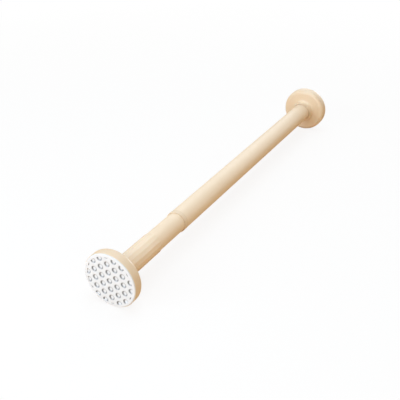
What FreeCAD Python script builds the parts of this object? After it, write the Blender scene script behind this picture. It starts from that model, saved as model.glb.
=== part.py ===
import FreeCAD, Part

import math
import os

import Sketcher

# Spring tension rod, in millimetres. The rod lies along X: the rear wall pad's face is at X = 0 and the
# front foot is at the far, positive end. The rod is shown as it stands between two walls, unlocked and with
# its spring relaxed. Z is up.

# Driving sizes: name, value, what it is
SIZES = [
    ("tube_diameter", 32.0, "outer tube, outside"),
    ("tube_wall", 0.5, "outer tube, wall"),
    ("tube_length", 479.7, "outer tube, end to end"),
    ("sleeve_wall", 0.43, "mouth ring's sleeve between the two tubes, wall"),
    ("inner_wall", 0.5, "inner tube, wall"),
    ("shown_length", 61.2, "inner tube in sight, between mouth ring and grip"),
    ("slide_gap", 0.1, "inner tube in the mouth ring, each side"),
    ("seat_gap", 0.12, "pieces seated in one another, each side"),
    ("bore_gap", 0.3, "pieces that travel in the outer tube, each side"),
    ("running_gap", 0.1, "journals and turning rings, each side"),
    ("end_gap", 0.2, "turning rings, each end"),
    ("contact_gap", 0.1, "faces that only touch under load"),
    ("foot_diameter", 80.0, "feet, outside"),
    ("foot_depth", 18.0, "wall to the foot's tube side"),
    ("foot_wall", 2.4, "feet, moulded wall"),
    ("foot_edge", 7.0, "feet, rounding of the tube side edge"),
    ("lip_thickness", 0.6, "feet, thin rim round the pad"),
    ("pad_thickness", 4.0, "wall pads"),
    ("pad_proud", 1.5, "wall pads, in front of the rim"),
    ("pad_edge", 1.2, "wall pads, bevel of the edge"),
    ("dimple_pitch", 12.75, "dimples, centre to centre"),
    ("dimple_mouth", 9.2, "dimples, across the mouth"),
    ("dimple_floor", 3.8, "dimples, across the floor"),
    ("dimple_depth", 1.2, "dimples, depth"),
    ("dimple_field", 70.4, "dimples, across the round field that they fill"),
    ("dimple_turn", -4.2, "dimple rows, turned from upright, degrees"),
    ("rib_thickness", 1.8, "ribs inside the feet"),
    ("rib_root", 0.6, "ribs, how far they run into the walls that they join"),
    ("boss_wall", 2.2, "feet, wall round the sockets"),
    ("hub_length", 11.8, "rear hub, from the foot's tube side"),
    ("hub_wall", 1.2, "rear hub, wall at its mouth"),
    ("hub_flare", 0.4, "rear hub, how much wider at its root"),
    ("hub_fillet", 4.5, "rear hub, rounding at its root"),
    ("hub_recess", 0.5, "rear hub, recess round the tube at its mouth"),
    ("hub_recess_depth", 1.5, "rear hub, how deep that recess goes"),
    ("socket_floor", 10.0, "wall to the end of the outer tube"),
    ("plug_length", 24.0, "rear plug"),
    ("foot_screw_diameter", 4.2, "rear foot screw"),
    ("foot_screw_length", 20.0, "rear foot screw, under its head"),
    ("screw_head_diameter", 8.4, "rear foot screw, head"),
    ("screw_head_height", 2.6, "rear foot screw, head"),
    ("screw_slot", 1.2, "screws, width of the slot"),
    ("head_room", 0.6, "screw heads, below the pad"),
    ("collar_length", 8.2, "mouth ring, outside the tube"),
    ("collar_proud", 0.25, "mouth ring, above the tube"),
    ("collar_edge", 0.35, "mouth ring, bevel of its edges"),
    ("collar_recess", 0.5, "mouth ring, recess round the inner tube at its front"),
    ("collar_recess_depth", 1.2, "mouth ring, how deep that recess goes"),
    ("sleeve_length", 24.0, "mouth ring, sleeve inside the tube"),
    ("grip_length", 80.6, "grip, in sight"),
    ("grip_step", 0.525, "grip, its flats above the inner tube"),
    ("grip_edge", 0.35, "grip, bevel of its end edges"),
    ("grip_turn", 7.4, "grip, flats turned from upright, degrees"),
    ("spigot_length", 30.0, "grip, spigot in the inner tube"),
    ("grip_wall", 2.0, "grip, moulded wall of the spigot"),
    ("grip_end_wall", 20.0, "grip, closed end towards the foot"),
    ("swivel_gap", 0.3, "grip to front foot"),
    ("shoulder_diameter", 8.0, "swivel screw, shoulder"),
    ("swivel_thread", 5.0, "swivel screw, thread"),
    ("swivel_thread_length", 17.0, "swivel screw, thread"),
    ("swivel_head_diameter", 12.0, "swivel screw, head"),
    ("swivel_head_height", 2.2, "swivel screw, head"),
    ("washer_diameter", 17.0, "swivel washer"),
    ("washer_thickness", 1.0, "swivel washer"),
    ("stop_gap", 1.0, "lock plug to what stops it"),
    ("push_in", 40.0, "how far the inner tube slides in before the lock reaches the rear plug"),
    ("spring_travel", 20.0, "how far the spring lets the rod shorten"),
    ("end_cap_thickness", 4.0, "end cap"),
    ("end_cap_gap", 0.9, "end cap to the tube's bore"),
    ("journal_length", 18.0, "lock plug, eccentric journal"),
    ("journal_offset", 0.7, "lock plug, journal's offset from the tube axis"),
    ("cam_gap", 0.6, "cam ring to the tube's bore while free"),
    ("cam_wall", 5.3, "cam ring, wall half way round"),
    ("cam_slit", 2.5, "cam ring, slit"),
    ("shoulder_thickness", 4.0, "lock plug, disc between journal and neck"),
    ("glide_wall", 4.1, "glide ring, wall"),
    ("neck_length", 8.0, "lock plug, neck"),
    ("glide_slit", 1.5, "glide ring, slit"),
    ("nose_thickness", 7.0, "lock plug, front disc"),
    ("stub_diameter", 10.0, "lock plug, stub that carries the end cap"),
    ("disc_gap", 0.6, "lock plug's discs to the tube's bore"),
    ("stem_across", 10.0, "stem, across flats"),
    ("stem_gap", 0.2, "stem in its bushing, each side"),
    ("stem_socket", 17.0, "stem, depth in the lock plug"),
    ("stem_journal", 8.0, "stem, turned end"),
    ("rivet_diameter", 12.0, "stem, riveted head"),
    ("rivet_height", 2.0, "stem, riveted head"),
    ("bushing_flange", 4.0, "stem bushing, flange"),
    ("bushing_length", 23.0, "stem bushing, in the tube"),
    ("bead_width", 3.0, "rolled bead in the inner tube"),
    ("bead_depth", 0.6, "rolled bead in the inner tube"),
    ("seat_washer_gap", 1.85, "spring washer to the inner tube's bore"),
    ("seat_washer_thickness", 2.5, "spring washer"),
    ("spring_length", 60.0, "spring, relaxed"),
    ("spring_gap", 2.85, "spring to the inner tube's bore"),
    ("spring_wire", 2.2, "spring, wire"),
    ("backstop_length", 10.0, "spring backstop, in the tube"),
    ("backstop_nub_gap", 0.5, "spring backstop, nub to the inside of the spring"),
    ("backstop_nub_length", 6.0, "spring backstop, nub inside the spring"),
]

GRIP_SIDES = 16
FOOT_RIBS = 6
HEX_SIDES = 6
FULL_TURN = 360.0
HALF_TURN = 180.0
# The rounded edges, the dimples and the spring are faceted, to keep the model light
ROUNDING_CHORDS = 3
DIMPLE_SIDES = 8
DIMPLE_RINGS = 3
SPRING_TURNS = 8
SPRING_DEAD_TURNS = 1
SPRING_STEPS = 12
SPRING_SIDES = 5
SPRING_TOUCH = 0.25
# How far a dimple's void stands out of the pad's face, the least worth cutting, and what counts as one place
VOID_LEAD = 0.2
SLIVER_VOLUME = 1e-3
SAME_PLACE = 1e-4

doc = FreeCAD.newDocument("spring_tension_rod")
sheet = doc.addObject("Spreadsheet::Sheet", "Sizes")


class Size:
    """A length as a formula on the sheet's cells, with its value today."""

    def __init__(self, formula, value):
        self.formula = formula
        self.value = value

    def join(self, sign, other, value):
        """This size and another, joined by an arithmetic sign."""
        return Size("({} {} {})".format(self.formula, sign, formula_of(other)), value)

    def __add__(self, other):
        return self.join("+", other, self.value + value_of(other))

    def __sub__(self, other):
        return self.join("-", other, self.value - value_of(other))

    def __mul__(self, other):
        return self.join("*", other, self.value * value_of(other))

    def __truediv__(self, other):
        return self.join("/", other, self.value / value_of(other))


def formula_of(size):
    """The formula of a size, or of a plain number."""
    return size.formula if isinstance(size, Size) else "({})".format(size)


def value_of(size):
    """The value of a size, or of a plain number."""
    return size.value if isinstance(size, Size) else size


class Sheet:
    """The driving sizes by name."""


def fill_sheet():
    """Write the driving sizes to the sheet and return them as sizes."""
    named = Sheet()
    for row, (name, value, note) in enumerate(SIZES, start=1):
        sheet.set("A{}".format(row), name)
        sheet.set("B{}".format(row), str(value))
        sheet.set("C{}".format(row), note)
        sheet.setAlias("B{}".format(row), name)
        setattr(named, name, Size("Sizes.{}".format(name), value))
    doc.recompute()
    return named


S = fill_sheet()

# Radii
tube_radius = S.tube_diameter / 2
tube_bore = tube_radius - S.tube_wall
sleeve_radius = tube_bore - S.seat_gap
inner_radius = sleeve_radius - S.sleeve_wall - S.slide_gap
inner_bore = inner_radius - S.inner_wall
grip_across = (inner_radius + S.grip_step) * 2
foot_radius = S.foot_diameter / 2
pad_radius = foot_radius - S.lip_thickness
disc_radius = tube_bore - S.disc_gap
end_cap_radius = tube_bore - S.end_cap_gap
cam_radius = tube_bore - S.cam_gap
cam_bore = cam_radius - S.cam_wall
journal_radius = cam_bore - S.running_gap
travel_radius = tube_bore - S.bore_gap
glide_bore = travel_radius - S.glide_wall
neck_radius = glide_bore - S.running_gap
inner_seat = inner_bore - S.seat_gap
seat_washer_radius = inner_bore - S.seat_washer_gap
spring_radius = inner_bore - S.spring_gap
backstop_nub_radius = spring_radius - S.spring_wire - S.backstop_nub_gap

# Places along the rod, from the rear wall
tube_end = S.socket_floor + S.tube_length
grip_start = tube_end + S.collar_length + S.shown_length
grip_end = grip_start + S.grip_length
foot_start = grip_end + S.swivel_gap
overall_length = foot_start + S.foot_depth
end_cap_start = S.socket_floor + S.plug_length + S.push_in + S.stop_gap
plug_back = end_cap_start + S.end_cap_thickness
neck_start = plug_back + S.journal_length + S.shoulder_thickness
plug_front = neck_start + S.neck_length + S.nose_thickness
stem_start = plug_front - S.stem_socket
bushing_start = plug_front + S.stop_gap + S.spring_travel
inner_start = bushing_start + S.bushing_flange
inner_length = grip_start - inner_start
washer_start = inner_start + S.bushing_length + S.contact_gap
spring_start = washer_start + S.seat_washer_thickness + S.contact_gap
backstop_start = spring_start + S.spring_length + S.contact_gap


def bind(thing, name, size):
    """Tie one property of an object to the sheet."""
    thing.setExpression(name, formula_of(size))


def place(piece, along=None, facing_back=False):
    """Put a piece along the rod; facing_back turns it about the vertical, to look towards the rear wall."""
    if facing_back:
        piece.Placement.Rotation = FreeCAD.Rotation(FreeCAD.Vector(0, 0, 1), HALF_TURN)
    if along is not None:
        bind(piece, "Placement.Base.x", along)


def new_body(label, along=None, facing_back=False):
    """An empty body in its place along the rod."""
    body = doc.addObject("PartDesign::Body", label)
    body.Label = label
    place(body, along, facing_back)
    return body


def origin_part(body, role):
    """One of the body's own origin planes or axes."""
    return next(item for item in body.Origin.OriginFeatures if item.Role == role)


def attach(feature, body, role, offset=(None, None, None)):
    """Lay a sketch or primitive on an origin plane, moved by sizes along the plane's own axes."""
    feature.AttachmentSupport = (origin_part(body, role), [""])
    feature.MapMode = "FlatFace"
    for axis, size in zip("xyz", offset):
        if size is not None:
            bind(feature, "AttachmentOffset.Base.{}".format(axis), size)


def hold(sketch, index, name, size):
    """Name a dimension of the sketch and tie it to the sheet."""
    sketch.renameConstraint(index, name)
    bind(sketch, "Constraints.{}".format(name), size)


def outline(body, name, corners, aside=None):
    """A closed outline in the XZ plane or beside it, through corners given along the rod and out from it."""
    sketch = body.newObject("Sketcher::SketchObject", name)
    attach(sketch, body, "XZ_Plane", (None, None, aside))
    spots = [FreeCAD.Vector(value_of(along), value_of(out), 0) for along, out in corners]
    count = len(spots)
    for index in range(count):
        sketch.addGeometry(Part.LineSegment(spots[index], spots[(index + 1) % count]), False)
    for index in range(count):
        sketch.addConstraint(Sketcher.Constraint("Coincident", index, 2, (index + 1) % count, 1))
    for index, corner in enumerate(corners):
        for kind, own_axis, size in (("DistanceX", -2, corner[0]), ("DistanceY", -1, corner[1])):
            if value_of(size) == 0 and not isinstance(size, Size):
                sketch.addConstraint(Sketcher.Constraint("PointOnObject", index, 1, own_axis))
                continue
            made = sketch.addConstraint(Sketcher.Constraint(kind, -1, 1, index, 1, value_of(size)))
            hold(sketch, made, "{}_{}".format(kind, index), size)
    return sketch


def circles(body, name, rounds, along=None):
    """Circles in the YZ plane, each given as a radius and, where it is off the axis, a height."""
    sketch = body.newObject("Sketcher::SketchObject", name)
    attach(sketch, body, "YZ_Plane", (None, None, along))
    for index, (radius, height) in enumerate(rounds):
        centre = FreeCAD.Vector(0, value_of(height), 0)
        sketch.addGeometry(Part.Circle(centre, FreeCAD.Vector(0, 0, 1), value_of(radius)), False)
        made = sketch.addConstraint(Sketcher.Constraint("Radius", index, value_of(radius)))
        hold(sketch, made, "radius_{}".format(index), radius)
        if isinstance(height, Size):
            sketch.addConstraint(Sketcher.Constraint("PointOnObject", index, 3, -2))
            made = sketch.addConstraint(Sketcher.Constraint("DistanceY", -1, 1, index, 3, height.value))
            hold(sketch, made, "height_{}".format(index), height)
        else:
            sketch.addConstraint(Sketcher.Constraint("Coincident", index, 3, -1, 1))
    return sketch


def turned(body, name, corners, kind="Revolution"):
    """A piece turned about the rod's axis, or with kind Groove a turned cut."""
    sketch = outline(body, name + "_outline", corners)
    feature = body.newObject("PartDesign::" + kind, name)
    feature.Profile = sketch
    feature.ReferenceAxis = (sketch, ["H_Axis"])
    feature.Angle = FULL_TURN
    return feature


def extruded(body, name, sketch, length):
    """A slab raised from a sketch along its normal, which in the YZ plane is towards the front."""
    feature = body.newObject("PartDesign::Pad", name)
    feature.Profile = sketch
    bind(feature, "Length", length)
    return feature


def prism(body, name, kind, sides, across, length, along=None, turn=None):
    """An even-sided bar or hole along the rod, given across its flats."""
    feature = body.newObject("PartDesign::{}Prism".format(kind), name)
    attach(feature, body, "YZ_Plane", (None, None, along))
    feature.Polygon = sides
    bind(feature, "Circumradius", across / (2 * math.cos(math.pi / sides)))
    bind(feature, "Height", length)
    if turn is not None:
        bind(feature, "AttachmentOffset.Rotation.Angle", turn)
    return feature


def box_cut(body, name, plane, offset, length, width, height):
    """A square-edged cut, its corner at offset on the given plane."""
    feature = body.newObject("PartDesign::SubtractiveBox", name)
    attach(feature, body, plane, offset)
    bind(feature, "Length", length)
    bind(feature, "Width", width)
    bind(feature, "Height", height)
    return feature


def round_edges(feature, along, radius):
    """The names of a feature's circular edges of this radius at this place."""
    doc.recompute()
    names = []
    for number, edge in enumerate(feature.Shape.Edges, start=1):
        curve = edge.Curve
        if not isinstance(curve, Part.Circle):
            continue
        same_radius = abs(curve.Radius - value_of(radius)) < SAME_PLACE
        if same_radius and abs(curve.Center.x - value_of(along)) < SAME_PLACE:
            names.append("Edge{}".format(number))
    return names


def crossways_edges(feature):
    """The names of a feature's straight edges that lie square to the rod."""
    doc.recompute()
    names = []
    for number, edge in enumerate(feature.Shape.Edges, start=1):
        if isinstance(edge.Curve, Part.Line) and edge.BoundBox.XLength < SAME_PLACE:
            names.append("Edge{}".format(number))
    return names


def softened(body, name, feature, kind, places, size):
    """Fillet or chamfer the round edges at the places given as (along, radius)."""
    names = []
    for along, radius in places:
        names += round_edges(feature, along, radius)
    edge = body.newObject("PartDesign::" + kind, name)
    edge.Base = (feature, names)
    bind(edge, "Radius" if kind == "Fillet" else "Size", size)
    return edge


def outer_tube():
    """The thicker tube, open at both ends."""
    body = new_body("outer_tube", S.socket_floor)
    ring = circles(body, "tube_section", [(tube_radius, 0), (tube_bore, 0)])
    extruded(body, "tube_length_pad", ring, S.tube_length)
    return body


def mouth_bush():
    """The ring on the outer tube's mouth, with the thin sleeve that guides the inner tube."""
    body = new_body("mouth_bush", tube_end)
    bore = inner_radius + S.slide_gap
    ring = tube_radius + S.collar_proud
    shape = turned(body, "ring_and_sleeve", [
        (S.sleeve_length * -1, bore),
        (S.sleeve_length * -1, sleeve_radius),
        (0, sleeve_radius),
        (0, ring),
        (S.collar_length, ring),
        (S.collar_length, bore + S.collar_recess),
        (S.collar_length - S.collar_recess_depth, bore + S.collar_recess),
        (S.collar_length - S.collar_recess_depth, bore),
    ])
    softened(body, "ring_edges", shape, "Chamfer", [(0, ring), (S.collar_length, ring)], S.collar_edge)
    return body


def bead(start, radius):
    """The three corners of a rolled bead, from its start along a wall of this radius."""
    return [
        (start, radius),
        (start + S.bead_width / 2, radius - S.bead_depth),
        (start + S.bead_width, radius),
    ]


def inner_tube():
    """The thinner tube, with the rolled bead that the spring's backstop leans on."""
    body = new_body("inner_tube", inner_start)
    start = backstop_start + S.backstop_length + S.contact_gap - inner_start
    turned(body, "tube_wall_turned", [
        (0, inner_bore),
        (0, inner_radius),
        *bead(start, inner_radius),
        (inner_length, inner_radius),
        (inner_length, inner_bore),
        *reversed(bead(start, inner_bore)),
    ])
    return body


def grip():
    """The hand grip: sixteen flats outside, a spigot in the inner tube, an end wall for the screw."""
    body = new_body("grip", grip_start)
    spigot_start = S.spigot_length * -1
    hollow = inner_seat - S.grip_wall
    hollow_end = S.grip_length - S.grip_end_wall
    thread = S.swivel_thread / 2 + S.seat_gap
    thread_start = S.grip_length - S.swivel_thread_length - S.stop_gap
    turned(body, "spigot", [
        (spigot_start, 0),
        (spigot_start, inner_seat),
        (S.grip_edge, inner_seat),
        (S.grip_edge, 0),
    ])
    bar = prism(body, "flats", "Additive", GRIP_SIDES, grip_across, S.grip_length, turn=S.grip_turn)
    bevel = body.newObject("PartDesign::Chamfer", "end_bevels")
    bevel.Base = (bar, crossways_edges(bar))
    bind(bevel, "Size", S.grip_edge)
    turned(body, "hollow", [
        (spigot_start, 0),
        (spigot_start, hollow),
        (hollow_end, hollow),
        (hollow_end, 0),
    ], "Groove")
    turned(body, "thread_hole", [
        (thread_start, 0),
        (thread_start, thread),
        (S.grip_length, thread),
        (S.grip_length, 0),
    ], "Groove")
    return body


def rounding(along, out, radius, first, last, chords=ROUNDING_CHORDS):
    """Corners along a rounding about a centre, from the first to the last angle in degrees."""
    corners = []
    for step in range(chords + 1):
        angle = math.radians(first + (last - first) * step / chords)
        corners.append((along + radius * round(math.cos(angle), 6), out + radius * round(math.sin(angle), 6)))
    return corners


def inside_edge(inset):
    """The bevel inside a foot's rounded edge, its ends inset from the outside by the wall's thickness."""
    edge = S.foot_edge
    return rounding(S.foot_depth - edge, foot_radius - edge, edge - inset, 0, 90, chords=1)


def foot_ribs(body, boss):
    """Radial ribs between the boss and the foot's wall, flush with the pad's back."""
    inner = boss - S.rib_root
    sunk = S.foot_wall - S.rib_root
    plate = outline(body, "rib_outline", [
        (S.pad_thickness, inner),
        (S.foot_depth - sunk, inner),
        *inside_edge(sunk),
        (S.pad_thickness, foot_radius - sunk),
    ], aside=S.rib_thickness / -2)
    rib = extruded(body, "rib", plate, S.rib_thickness)
    ring = body.newObject("PartDesign::PolarPattern", "ribs")
    ring.Originals = [rib]
    ring.Axis = (origin_part(body, "X_Axis"), [""])
    ring.Angle = FULL_TURN
    ring.Occurrences = FOOT_RIBS
    body.Tip = ring


def foot_cup(boss):
    """The corners of a foot's open side, from the boss's rim out to the lip and round to the tube side."""
    seat = pad_radius + S.seat_gap / 2
    edge = S.foot_edge
    return [
        (S.pad_thickness, boss),
        (S.foot_depth - S.foot_wall, boss),
        *inside_edge(S.foot_wall),
        (S.pad_thickness, foot_radius - S.foot_wall),
        (S.pad_thickness, seat),
        (S.pad_proud, seat),
        (S.pad_proud, foot_radius),
        *rounding(S.foot_depth - edge, foot_radius - edge, edge, 90, 0),
    ]


def rear_foot():
    """The rear foot: a ribbed cup with a flared hub that takes the outer tube."""
    body = new_body("rear_foot")
    socket = tube_radius + S.seat_gap
    mouth = S.foot_depth + S.hub_length
    hub = socket + S.hub_wall
    root = hub + S.hub_flare
    boss = socket + S.boss_wall
    hole = S.foot_screw_diameter / 2 + S.seat_gap
    sink = S.screw_head_diameter / 2 + S.seat_gap
    sink_floor = S.pad_thickness + S.head_room + S.screw_head_height
    turned(body, "cup_and_hub", [
        *foot_cup(boss),
        *rounding(S.foot_depth + S.hub_fillet, root + S.hub_fillet, S.hub_fillet, 180, 270),
        (mouth, hub),
        (mouth, socket + S.hub_recess),
        (mouth - S.hub_recess_depth, socket + S.hub_recess),
        (mouth - S.hub_recess_depth, socket),
        (S.socket_floor, socket),
        (S.socket_floor, hole),
        (sink_floor, hole),
        (sink_floor, sink),
        (S.pad_thickness, sink),
    ])
    foot_ribs(body, boss)
    return body


def front_foot():
    """The front foot: the same cup, with a bearing boss for the swivel screw."""
    body = new_body("front_foot", overall_length, facing_back=True)
    hole = S.shoulder_diameter / 2 + S.running_gap
    sink = S.washer_diameter / 2 + S.bore_gap
    washer_face = S.pad_thickness + S.head_room + S.swivel_head_height + S.washer_thickness
    sink_floor = washer_face + S.contact_gap
    boss = sink + S.boss_wall
    turned(body, "cup_and_boss", [
        *foot_cup(boss),
        (S.foot_depth, hole),
        (sink_floor, hole),
        (sink_floor, sink),
        (S.pad_thickness, sink),
    ])
    foot_ribs(body, boss)
    return body


def dimple(y, z, spin):
    """One dimple's void: an even-sided cup, wide at the wall face, its floor inside the pad."""
    mouth = S.dimple_mouth.value / 2
    floor = S.dimple_floor.value / 2
    depth = S.dimple_depth.value
    wide = mouth + (mouth - floor) * VOID_LEAD / depth
    rims = []
    for along, radius in ((-VOID_LEAD, wide), (depth, floor)):
        rim = []
        for side in range(DIMPLE_SIDES):
            angle = spin + 2 * math.pi * side / DIMPLE_SIDES
            rim.append(FreeCAD.Vector(along, y + radius * math.cos(angle), z + radius * math.sin(angle)))
        rims.append(rim)
    faces = [Part.Face(Part.makePolygon(rim + rim[:1])) for rim in rims]
    for side in range(DIMPLE_SIDES):
        after = (side + 1) % DIMPLE_SIDES
        corners = [rims[0][side], rims[0][after], rims[1][after], rims[1][side]]
        faces.append(Part.Face(Part.makePolygon(corners + corners[:1])))
    solid = Part.Solid(Part.Shell(faces))
    return solid if solid.Volume > 0 else solid.reversed()


def dimple_field(label):
    """The dimples' voids on a triangular grid, cut off where the smooth margin begins."""
    pitch = S.dimple_pitch.value
    turn = math.radians(S.dimple_turn.value)
    field = S.dimple_field.value / 2
    reach = field + S.dimple_mouth.value / 2
    whole = []
    cut = []
    limit = Part.makeCylinder(field, S.pad_thickness.value * 2, FreeCAD.Vector(-S.pad_thickness.value, 0, 0),
                              FreeCAD.Vector(1, 0, 0))
    for across in range(-DIMPLE_RINGS, DIMPLE_RINGS + 1):
        for up in range(-DIMPLE_RINGS, DIMPLE_RINGS + 1):
            side = pitch * across * math.cos(math.pi / 6)
            height = pitch * (up + across / 2)
            y = side * math.cos(turn) - height * math.sin(turn)
            z = side * math.sin(turn) + height * math.cos(turn)
            distance = math.hypot(y, z)
            if distance + S.dimple_mouth.value / 2 < field:
                whole.append(dimple(y, z, turn))
            elif distance < reach:
                cut.append(dimple(y, z, turn).common(limit))
    field_object = doc.addObject("Part::Feature", label + "_dimples")
    field_object.Shape = Part.makeCompound(whole + [piece for piece in cut if piece.Volume > SLIVER_VOLUME])
    return field_object


def pad(label, along=None, facing_back=False):
    """A moulded wall pad: a bevelled disc with the dimples cut from its wall face."""
    disc = new_body(label + "_disc")
    bevel = S.pad_edge
    turned(disc, label + "_turned", [
        (0, 0),
        (0, pad_radius - bevel),
        (bevel, pad_radius),
        (S.pad_thickness, pad_radius),
        (S.pad_thickness, 0),
    ])
    piece = doc.addObject("Part::Cut", label)
    piece.Label = label
    piece.Base = disc
    piece.Tool = dimple_field(label)
    place(piece, along, facing_back)
    return piece


def screw(label, along, head, head_height, steps, facing_back=False):
    """A slotted screw, head towards negative X, with the steps of its shank as (length, radius)."""
    body = new_body(label, along, facing_back)
    corners = [(0, 0), (0, head), (head_height, head)]
    reach = head_height
    for length, radius in steps:
        corners.append((reach, radius))
        reach = reach + length
        corners.append((reach, radius))
    corners.append((reach, 0))
    turned(body, label + "_turned", corners)
    box_cut(body, label + "_slot", "YZ_Plane", (S.screw_slot / -2, head * -1, None),
            S.screw_slot, head * 2, head_height / 2)
    return body


def lock_plug():
    """The lock plug: cap stub, eccentric journal, shoulder, neck and front disc, with the stem's socket."""
    body = new_body("lock_plug", plug_back)
    shoulder = S.journal_length
    neck = shoulder + S.shoulder_thickness
    nose = neck + S.neck_length
    front = nose + S.nose_thickness
    turned(body, "stub_and_discs", [
        (S.end_cap_thickness * -1, 0),
        (S.end_cap_thickness * -1, S.stub_diameter / 2),
        (shoulder, S.stub_diameter / 2),
        (shoulder, disc_radius),
        (neck, disc_radius),
        (neck, neck_radius),
        (nose, neck_radius),
        (nose, disc_radius),
        (front, disc_radius),
        (front, 0),
    ])
    journal = circles(body, "journal_section", [(journal_radius, S.journal_offset)])
    extruded(body, "journal", journal, shoulder + S.shoulder_thickness / 2)
    prism(body, "stem_socket", "Subtractive", HEX_SIDES, S.stem_across + S.seat_gap * 2, S.stem_socket,
          along=front - S.stem_socket)
    return body


def stem():
    """The hexagonal stem, its front end turned down and riveted over the spring washer."""
    body = new_body("stem", stem_start)
    length = washer_start - stem_start
    rivet = spring_start - stem_start
    journal = S.stem_journal / 2
    prism(body, "bar", "Additive", HEX_SIDES, S.stem_across, length)
    turned(body, "riveted_end", [
        (length - journal, 0),
        (length - journal, journal),
        (rivet, journal),
        (rivet, S.rivet_diameter / 2),
        (rivet + S.rivet_height, S.rivet_diameter / 2),
        (rivet + S.rivet_height, 0),
    ])
    return body


def split_ring(label, along, outside, bore, bore_height, width, slit):
    """A ring slit at its lowest point."""
    body = new_body(label, along)
    ring = circles(body, label + "_section", [(outside, 0), (bore, bore_height)])
    extruded(body, label + "_width", ring, width)
    box_cut(body, label + "_slit", "YZ_Plane", (slit / -2, outside * -1, None), slit, outside, width)
    return body


def stem_bushing():
    """The flanged bushing in the inner tube's end, with the hexagonal hole that keys the stem."""
    body = new_body("stem_bushing", bushing_start)
    seat = S.bushing_flange
    end = seat + S.bushing_length
    turned(body, "bushing_turned", [
        (0, 0),
        (0, travel_radius),
        (seat, travel_radius),
        (seat, inner_seat),
        (end, inner_seat),
        (end, 0),
    ])
    prism(body, "stem_hole", "Subtractive", HEX_SIDES, S.stem_across + S.stem_gap * 2, end)
    return body


def washer(label, along, outside, bore, thickness):
    """A flat ring."""
    body = new_body(label, along)
    ring = circles(body, label + "_section", [(outside, 0), (bore, 0)])
    extruded(body, label + "_thickness", ring, thickness)
    return body


def spring_backstop():
    """The spring's far seat: a plug in the tube with a nub inside the spring."""
    body = new_body("spring_backstop", backstop_start)
    turned(body, "backstop_turned", [
        (S.backstop_nub_length * -1, 0),
        (S.backstop_nub_length * -1, backstop_nub_radius),
        (0, backstop_nub_radius),
        (0, inner_seat),
        (S.backstop_length, inner_seat),
        (S.backstop_length, 0),
    ])
    return body


def spring():
    """The compression spring, a faceted wire with one closed turn at each end."""
    wire = S.spring_wire.value / 2
    coil = spring_radius.value - wire
    closed = 2 * wire + SPRING_TOUCH
    working = SPRING_TURNS - 2 * SPRING_DEAD_TURNS
    open_pitch = (S.spring_length.value - 2 * wire - 2 * SPRING_DEAD_TURNS * closed) / working
    rims = []
    along = wire
    for step in range(SPRING_TURNS * SPRING_STEPS + 1):
        angle = 2 * math.pi * step / SPRING_STEPS
        rim = []
        for side in range(SPRING_SIDES):
            around = 2 * math.pi * side / SPRING_SIDES
            out = coil + wire * math.cos(around)
            rim.append(FreeCAD.Vector(along + wire * math.sin(around), out * math.cos(angle),
                                      out * math.sin(angle)))
        rims.append(rim)
        turn = (step + 0.5) / SPRING_STEPS
        dead = turn < SPRING_DEAD_TURNS or turn > SPRING_TURNS - SPRING_DEAD_TURNS
        along += (closed if dead else open_pitch) / SPRING_STEPS
    faces = [Part.Face(Part.makePolygon(rim + rim[:1])) for rim in (rims[0], rims[-1])]
    for near, far in zip(rims, rims[1:]):
        for side in range(SPRING_SIDES):
            after = (side + 1) % SPRING_SIDES
            for corners in ([near[side], near[after], far[after]], [near[side], far[after], far[side]]):
                faces.append(Part.Face(Part.makePolygon(corners + corners[:1])))
    shell = Part.Shell(faces)
    shell.sewShape()
    solid = Part.Solid(shell)
    piece = doc.addObject("Part::Feature", "spring")
    piece.Label = "spring"
    piece.Shape = solid if solid.Volume > 0 else solid.reversed()
    place(piece, spring_start)
    return piece


def build():
    """Make every piece, rear foot first."""
    foot_screw_sink = S.pad_thickness + S.head_room
    swivel_head = overall_length - S.pad_thickness - S.head_room
    shoulder_length = (S.foot_depth - S.pad_thickness - S.head_room - S.swivel_head_height
                       + S.swivel_gap)
    swivel_washer_start = swivel_head - S.swivel_head_height - S.washer_thickness
    return [
        outer_tube(),
        mouth_bush(),
        rear_foot(),
        pad("rear_pad"),
        washer("rear_plug", S.socket_floor, tube_bore - S.seat_gap,
               S.foot_screw_diameter / 2 + S.seat_gap, S.plug_length),
        screw("rear_foot_screw", foot_screw_sink, S.screw_head_diameter / 2, S.screw_head_height,
              [(S.foot_screw_length, S.foot_screw_diameter / 2)]),
        split_ring("glide_ring", neck_start + S.end_gap, travel_radius, glide_bore, 0,
                   S.neck_length - S.end_gap * 2, S.glide_slit),
        lock_plug(),
        stem(),
        washer("end_cap", end_cap_start, end_cap_radius, S.stub_diameter / 2 + S.seat_gap,
               S.end_cap_thickness),
        washer("spring_washer", washer_start, seat_washer_radius,
               S.stem_journal / 2 + S.seat_gap, S.seat_washer_thickness),
        split_ring("cam_ring", plug_back + S.end_gap, cam_radius, cam_bore, S.journal_offset,
                   S.journal_length - S.end_gap * 2, S.cam_slit),
        inner_tube(),
        stem_bushing(),
        spring(),
        spring_backstop(),
        grip(),
        screw("swivel_screw", swivel_head, S.swivel_head_diameter / 2, S.swivel_head_height,
              [(shoulder_length, S.shoulder_diameter / 2),
               (S.swivel_thread_length, S.swivel_thread / 2)], facing_back=True),
        washer("swivel_washer", swivel_washer_start, S.washer_diameter / 2,
               S.shoulder_diameter / 2 + S.running_gap, S.washer_thickness),
        front_foot(),
        pad("front_pad", overall_length, facing_back=True),
    ]


def check(pieces):
    """Stop if any object failed or any piece isn't one sound solid."""
    for item in doc.Objects:
        if "Invalid" in item.State or "Error" in item.State:
            raise RuntimeError("{} failed: {}".format(item.Name, item.State))
    for piece in pieces:
        shape = piece.Shape
        if shape.isNull() or not shape.isValid() or shape.Volume <= 0 or len(shape.Solids) != 1:
            raise RuntimeError("{} is not one sound solid".format(piece.Label))


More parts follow.
